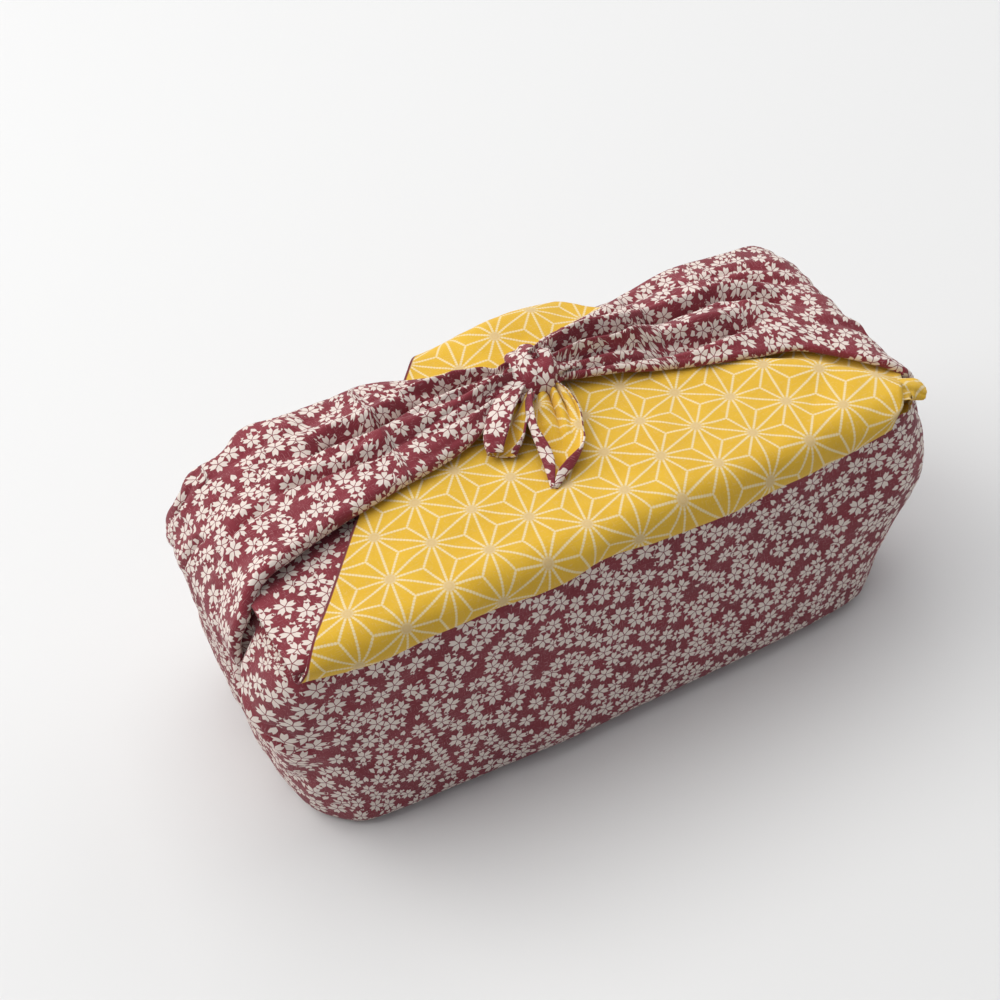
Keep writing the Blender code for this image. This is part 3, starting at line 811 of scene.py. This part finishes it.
FLAP_SECTION = flap_section()
FLAP_RUN = line_run(FLAP_SECTION)
FLAT_FROM = np.argmax((FLAP_SECTION[:, 1] > FLAP_LEVEL - 1e-6) & (FLAP_RUN > 0.07))
CHART_SHIFT = FLAP_SECTION[FLAT_FROM, 0] - FLAP_RUN[FLAT_FROM]
FOLD_RUN = FLAP_RUN[np.argmin(FLAP_SECTION[:, 1] + (FLAP_SECTION[:, 0] > 0))]
print("flap section:", round(1000 * FLAP_RUN[-1]), "mm long, turned at", round(1000 * FOLD_RUN), "mm")

# %% Turned-back flap
FLAP_FOLDS = [
    fold(0.4, 4, (-92, -36), (-70, -30), (-50, -34)),
    fold(0.5, 3.5, (60, -44), (78, -30), (94, -20)),
]


# How far the fold's lower edge stands over its mean height at places along the bundle, in millimetres.
FOLD_EDGE_AT = np.array((-99.5, -86, -71, -56, -40, -25, -8.6, 8, 24.5, 41.6, 59, 76.5, 87, 96)) / 1000
FOLD_EDGE_UP = np.array((4, 1.4, -0.3, 0.9, 0.5, -0.8, 1.2, -0.4, -1.3, -1.4, -1, 0.3, 2.4, 5.8)) / 1000


def flap_shape(u, v):
    run = v * FLAP_RUN[-1]
    y = np.interp(run, FLAP_RUN, FLAP_SECTION[:, 0])
    z = np.interp(run, FLAP_RUN, FLAP_SECTION[:, 1])
    back = np.maximum(0.0, run - FOLD_RUN)
    chart_y = run + CHART_SHIFT
    left = np.minimum(HEM_LEFT + back / HEM_SLOPE, HEM_APEX[0] - 0.0005)
    right = np.minimum(HEM_RIGHT + 0.0078 * ease((back - 0.010) / 0.014),
                       HEM_APEX[0] + np.maximum(0.0005, (HEM_APEX[1] - chart_y) * RIGHT_SLOPE))
    left = left + 0.0027 * ease((0.010 - back) / 0.010)
    right = right - 0.0062 * ease((0.012 - back) / 0.012)
    x = left + (right - left) * u
    near = ease((-0.030 - y) / 0.010)
    opened = ease((x - 0.080) / 0.020) * near
    over = (run > FOLD_RUN) * 1.0
    stand = 0.0032 * ease((y - 0.026) / 0.018) * ease((z - TOP + 0.024) / 0.020) * over
    z = z + stand * ease(1.0 - abs(x - 0.013) / 0.028)
    z = z + between(x, FOLD_EDGE_AT, FOLD_EDGE_UP) * ease((TOP - 0.0005 - z) / 0.0080) * near
    y = y - opened * over * 0.0010 + opened * (1 - over) * 0.0012
    places = np.stack([x, y, z], 1)
    flat = np.stack([x, chart_y, 0 * x], 1)
    ridge = ridge_height(x, y)
    lifted = crumple(flat, 0.028, 0.0010, 5) + crumple(flat, 0.012, 0.0003, 6)
    lifted += fold_height(x, y, FLAP_FOLDS) + ridge
    top_share = ease((z - TOP + 0.006) / 0.006)
    places[:, 2] += lifted * over * top_share + np.minimum(ridge, 0.0) * (1 - over)
    places[:, 1] -= lifted * over * near * (1 - top_share)
    hem = (x - left) * HEM_SLOPE / math.hypot(1.0, HEM_SLOPE)
    hem = np.where(run > FOLD_RUN - 0.002, np.minimum(hem, (right - x) * 0.77 + 0.003), NO_HEM)
    return swell(places), np.stack([x, chart_y], 1), hem


turned_back_flap = grid_sheet("turned_back_flap", 130, 150, flap_shape,
                              [hemp_leaf_cotton, blossom_cotton], thickness=0.0007)

# %% [markdown]
# ## The wings
# The left and right corners of the square rise up the ends, bend over and are gathered towards the knot.
# Their long edges are rolled under. A table gives, at stations from the foot of the end to the knot, where
# the two edges lie and how high the wing stands.

# %% Wing tables
# Millimetres: way from the knot, near edge, far edge, height, radius of the rolled edges, crown and ridges.
LEFT_WING = (
    (1, 10.5, 20, 5, 1.2, 2, 1),
    (9, 7, 25.5, 3.4, 1.6, 2.6, 1.8),
    (18, 2.5, 29.8, 2.6, 2, 2.6, 2),
    (28, -0.8, 34.5, 1.8, 2.4, 3, 1.5),
    (38, -2.8, 39, 1.4, 2.6, 2.6, 0.9),
    (52, -5, 39.8, 1.1, 2.6, 0.6, 0.4),
    (69, -8.2, 41.6, 1, 2.5, -1.4, 0.3),
    (76.5, -10.1, 44.4, 1, 2.5, -1.8, 0.3),
    (84.5, -12.4, 40.2, 0.8, 2.4, -2.6, 0.2),
    (96.7, -16, 41.2, 0.8, 2.3, -3, 0.2),
    (106, -20.2, 42.5, 0.8, 2.2, -3.4, 0.2),
    (115, -21.4, 43.2, 0.6, 2.1, -3, 0.2),
    (124, -22.4, 43.6, -0.6, 1.8, -1, 0.2),
    (132, -26.2, 44.2, -2.6, 1.4, 1.4, 0.2),
    (140, -34.5, 44.5, -3.6, 1.1, 3, 0.2),
    (146, -41.5, 44.8, -4.4, 1, 3.8, 0.1),
    (152, -46.2, 45, -5, 0.8, 4.6, 0.1),
    (162, -51, 45.6, -5.6, 0.6, 4.8, 0.1),
    (171, -51.5, 46.2, -6.6, 0.5, 4.8, 0.1),
    (180, -52, 46.8, -7.2, 0.5, 4.4, 0),
    (189, -52, 47, -7.6, 0.4, 4, 0),
)
RIGHT_WING = (
    (5.5, 11.5, 20.5, 5, 1.2, 1.4, 0.8),
    (13, 10, 26.2, 3.6, 1.5, 1.4, 1.4),
    (21, 7.5, 29.8, 3.2, 1.6, 1, 2.6),
    (30, 5, 32.2, 2.4, 1.7, 1.2, 2.6),
    (40, 1, 34.2, 1.5, 1.8, 1.4, 1.8),
    (52, -3, 37.4, 0.8, 1.7, 1.4, 1.1),
    (69, -8.8, 40.2, 0.5, 1.6, 1.4, 0.6),
    (84, -14, 39.4, 0.4, 1.4, 1.4, 0.5),
    (93, -23.5, 39, 0.4, 1.4, 0.8, 0.4),
    (100, -31.5, 41.2, 0.3, 1.4, -0.4, 0.2),
    (108, -35, 43, 0.3, 1.4, -1, 0.2),
    (125, -32, 44, 0.2, 1.4, -1.6, 0.2),
    (145, -30, 45, 0.1, 1.3, -1.6, 0.1),
    (170, -30, 47, -0.2, 1, -1.2, 0.1),
    (189, -33, 48, -0.8, 0.4, 0, 0),
)
LEFT_FOLDS = [
    fold(5.8, 1.8, (6, 17.5), (20, 18.8), (32, 19.4), (45, 17.9), (51, 19.1), (61, 21.1), (70, 22.6), step=3.6,
         fade=0.2),
    fold(2, 1.4, (10, 12), (22, 11), (34, 9), (50, 7.8), (64, 9), step=1.2, fade=0.55),
    fold(3.4, 1.2, (44, 7.4), (57.5, 9.7), (64.3, 11), (72.2, 13), (80, 13.6), step=2),
    fold(1.6, 1.3, (80, 11), (94, 8.5), (104, 4), step=0.8),
    fold(1.6, 1.4, (20, 24), (34, 26.2), (50, 27.5), fade=0.55),
    fold(1.4, 1.8, (56, 30), (78, 33), (94, 33)),
    fold(3, 2, (86, 42), (96, 37), (106, 35), (118, 37), step=1.8),
    fold(2, 1.4, (104, 16.5), (115, 19), (128, 21.5)),
    fold(2, 1.5, (122, 15.5), (134, 11.5), (146, 12.5), (158, 6)),
    fold(1.8, 1.8, (112, 30), (130, 33), (150, 33), (172, 28)),
    fold(1.6, 1.6, (116, -5), (130, -8.5), (150, -15), (168, -24), step=0.8),
    fold(1.4, 1.5, (150, -25), (165, -33), (178, -46), (187, -58)),
]
RIGHT_FOLDS = [
    fold(6, 1.7, (9, 18.5), (17, 17.2), (26.4, 16), (35, 14.9), (46, 17.4), (55.3, 17.2), (63.8, 16.4),
         (70.8, 16.5), (77.1, 13.8), (85, 9.4), (96, 3), step=3.4, fade=0.25),
    fold(6.4, 2.1, (10, 13.5), (20, 10), (30.5, 7.2), (37.5, 6.1), (46.6, 4.2), (55.7, 3.4), (63.6, 3.5),
         (69.5, 3.1), (76.2, 2.8), (88, 0), step=3, fade=0.35),
    fold(2.8, 1.4, (10, 21.5), (22, 22.5), (36, 24), (54, 26.2), step=1, fade=0.55),
    fold(2.4, 1.3, (10, 16), (22, 12.8), (36, 10.8), (54, 9.8), step=0.8, fade=0.55),
    fold(1.8, 1.6, (55, 29), (70, 29.5), (88, 26), (102, 20), step=1),
    fold(1.6, 1.4, (74, 23), (86, 20.5), (100, 12)),
    fold(1.4, 1.7, (88, -4), (100, -12), (112, -20)),
    fold(1.8, 1.8, (100, 8), (120, 6), (150, 10)),
    fold(1.6, 1.8, (108, -15), (130, -17), (160, -15)),
    fold(1.7, 1.8, (112, 28), (135, 30), (165, 26)),
]
print("stations:", len(LEFT_WING), "left,", len(RIGHT_WING), "right")

# %% Wing shape
TUCK = 0.0060             # how far a rolled edge goes on underneath
LEAST_LIFT = 0.0013       # keeps the folds on top of the bundle clear of the flap


def make_wing(name, side, table, folds, seed):
    stations, *courses = np.array(table).T / 1000

    def shape(u, v):
        along = stations[-1] + (stations[0] - stations[-1]) * v
        near, far, base, roll, crown, ridge = (between(along, stations, course) for course in courses)
        share = np.clip((u - 0.15) / 0.70, 0.0, 1.0)
        b = near + roll + (far - near - 2 * roll) * share
        lift = base + 2 * roll + crown * np.sin(np.pi * share ** 0.8)
        for edge, way, level, bent, end in ((near, 1.0, 0.15, 0.05, 0.0), (far, -1.0, 0.85, 0.95, 1.0)):
            turn = np.clip((level - u) / (level - bent), 0.0, 1.0)
            under = np.clip((bent - u) / (bent - end), 0.0, 1.0)
            b = np.where(turn > 0, edge + way * roll * (1.0 - np.sin(np.pi * turn)), b)
            b = np.where(under > 0, edge + way * (roll + TUCK * under), b)
            lift = np.where(turn > 0, base + roll + roll * np.cos(np.pi * turn), lift)
        top_share = np.sin(np.pi * share) ** 0.5
        waves = ridge * (2.2 * abs(np.sin(np.pi * (4.3 * share + 0.25))) - 1.4)
        seeds = np.stack([along * 0.42, b, 0 * b], 1)
        rough = crumple(seeds, 0.013, 0.0013, seed) + crumple(seeds, 0.006, 0.0004, seed + 1)
        lift = lift + (waves + fold_height(along, b, folds)) * top_share + rough * np.maximum(top_share, 0.35)
        lies = (share > 0) & (share < 1) & (along < HALF_LENGTH - 0.006)
        lift = np.where(lies, np.maximum(lift, LEAST_LIFT), lift)
        place, out = bundle_surface(side * along, b)
        places = place + out * lift[:, None]
        charts = np.stack([side * (stations[0] + run_down_middle(u, v, places)),
                           (near + far) / 2 + run_along_rows(u, v, places)], 1)
        return places, charts, np.full(u.shape, NO_HEM)

    piece = grid_sheet(name, 170, 160, shape, [blossom_cotton], flip=side < 0, smooth=1)
    return piece


left_wing = make_wing("left_wing", -1.0, LEFT_WING, LEFT_FOLDS, 11)
right_wing = make_wing("right_wing", 1.0, RIGHT_WING, RIGHT_FOLDS, 21)

# %% [markdown]
# ## The knot
# The two wings are drawn round each other. Three rolls of cloth make the knot that shows: a band that
# arches over the middle, and the narrow ends of both wings that run in under it. Each roll is a grid
# closed into a tube round a smooth path, with shallow ridges along it.

# %% Paths and rolls
def smooth_path(points, share):
    """Places on a smooth curve through a few points, for shares from 0 to 1."""
    points = np.asarray(points, float)
    marks = np.linspace(0.0, 1.0, len(points))
    return np.stack([between(share, marks, points[:, axis]) for axis in range(3)], 1)


def path_frame(points, share, around=None):
    """Place, sideways and upward at shares along a path. Upward can point away from a centre."""
    place = smooth_path(points, share)
    before, after = (smooth_path(points, np.clip(share + step, 0, 1)) for step in (-0.01, 0.01))
    ahead = unit(after - before)
    sideways = unit(np.cross(ahead, (0.0, 0.0, 1.0) if around is None else place - around))
    return place, sideways, np.cross(sideways, ahead)


def path_length(points):
    return line_run(smooth_path(points, np.linspace(0, 1, 60)))[-1]


def over_top(*places):
    """Places from millimetres, with heights over the folded top."""
    return np.array(places) / 1000 + (0.0, 0.0, TOP)


def make_roll(name, path, widths, heights, ridges, ridge_share, chart_start, seed, around=None,
              material=blossom_cotton):
    """A closed roll along a path. Its widths and heights are in millimetres."""
    marks = np.linspace(0.0, 1.0, len(widths))
    widths, heights = np.array(widths) / 1000, np.array(heights) / 1000
    length = path_length(path)

    def shape(u, v):
        place, sideways, upward = path_frame(path, v, around)
        width, height = between(v, marks, widths), between(v, marks, heights)
        angle = 2 * np.pi * u - np.pi / 2
        ridge = 1.0 + ridge_share * (2.2 * abs(np.sin(0.5 * ridges * angle + 1.2 * v)) - 1.4)
        places = place + sideways * (width / 2 * np.cos(angle) * ridge)[:, None]
        places += upward * (height / 2 * np.sin(angle) * ridge)[:, None]
        rough = crumple(places, 0.006, 0.0006, seed)
        places += (sideways * np.cos(angle)[:, None] + upward * np.sin(angle)[:, None]) * rough[:, None]
        charts = np.stack([chart_start[0] + run_along_rows(u, v, places), chart_start[1] + length * v], 1)
        return places, charts, np.full(u.shape, NO_HEM)

    piece = grid_sheet(name, 48, 40, shape, [material], closed=True)
    return piece


knot_band = make_roll(
    "knot_band",
    over_top((9.2, 24.8, 1), (8.4, 23.2, 6.6), (6.6, 18.6, 9.8), (5, 13.6, 10.2), (4.4, 9.4, 7.8), (5, 7.8, 2)),
    (10, 12.4, 14.2, 14, 11.6, 8), (4.5, 5.6, 6.2, 6.2, 5.6, 4), 6, 0.13,
    (0.02, 0.02), 31, around=over_top((6.4, 16, -1))[0])
left_strand = make_roll(
    "left_strand",
    over_top((-19, 15.5, 4.2), (-12, 15, 5.4), (-5, 13.8, 6), (2, 12, 5.5), (7, 10, 3.5)),
    (19, 16.5, 14, 12, 8), (4.6, 6.4, 7.6, 7.6, 5), 7, 0.12, (0.11, 0.05), 33)
right_strand = make_roll(
    "right_strand", over_top((26, 20, 3.6), (18.5, 19, 5), (11.5, 17.2, 5.8), (5, 15, 6)),
    (22, 18.5, 15, 12), (5, 7.2, 8.4, 8), 8, 0.14, (0.17, 0.05), 35)

# %% [markdown]
# ## The free ends
# Two tips of the square stick out of the knot. Each is a leaf whose long edges curl inwards, so its yellow
# inside shows between two strips of the burgundy outside. Towards the tip the curls meet.

# %% Free ends
def make_end(name, path, widths, depth_share, curl_left, curl_right, creases, closed_tip, seed):
    """A leaf along a path. Its widths are in millimetres, and its edges' curls in degrees."""
    marks, widths = np.linspace(0.0, 1.0, len(widths)), np.array(widths) / 1000
    length = path_length(path)

    def shape(u, v):
        place, sideways, upward = path_frame(path, v)
        width = between(v, marks, widths)
        closing = closed_tip * ease((v - 0.55) / 0.42)
        left = np.radians(curl_left + (178 - curl_left) * closing)
        right = np.radians(curl_right + (178 - curl_right) * closing)
        across = 2 * u - 1
        angle = np.where(across > 0, across * left, across * right)
        side = width / 2 * np.sin(angle)
        rise = -width * depth_share * (np.cos(angle) - 1.0) * 0.5
        inner = np.cos(np.clip(angle, -np.pi / 2, np.pi / 2)) ** 2 * ease((0.80 - v) / 0.70)
        rise += 0.0042 * (abs(np.sin(across * creases * np.pi / 2 + 0.5)) - 0.6) * inner
        rise += crumple(np.stack([across * 0.006, v * length, 0 * v], 1), 0.005, 0.0006, seed)
        places = place + sideways * side[:, None] + upward * rise[:, None]
        charts = np.stack([0.4 + 0.003 * seed + run_along_rows(u, v, places), 0.1 + length * v], 1)
        return places, charts, np.full(u.shape, NO_HEM)

    piece = grid_sheet(name, 54, 50, shape, [hemp_leaf_cotton, blossom_cotton], thickness=0.0006, smooth=1)
    return piece


front_end = make_end(
    "front_end", over_top((6.8, 11.2, 5.8), (5, 3.5, 5), (2.4, -5, 3.8), (-2, -15, 2.2), (-9.6, -25, 0.6)),
    (7.4, 14.6, 16.6, 12.4, 1.4), 0.34, 132, 66, 5.0, 1.0, 41)
side_end = make_end(
    "side_end",
    over_top((1, 11.8, 6.4), (-4.4, 7.2, 6), (-10, 2, 4.6), (-14.2, -3.2, 3), (-16.8, -7, 1.6)),
    (7.5, 10.2, 11.6, 11.2, 8), 0.40, 200, 96, 3.0, 0.5, 43)
corner_twist = make_roll(
    "corner_twist",
    over_top((96.2, -45.8, -2.7), (97.2, -42.6, -2.4), (99.4, -40.2, -2.6), (103.6, -40.4, -3.4),
             (107.4, -43, -4.8)),
    (6.4, 7.8, 9.2, 8.6, 4.2), (6.4, 6.2, 5.8, 5.2, 2.6), 5, 0.12, (0.09, -0.05), 37,
    material=hemp_leaf_cotton)
print("free ends made")
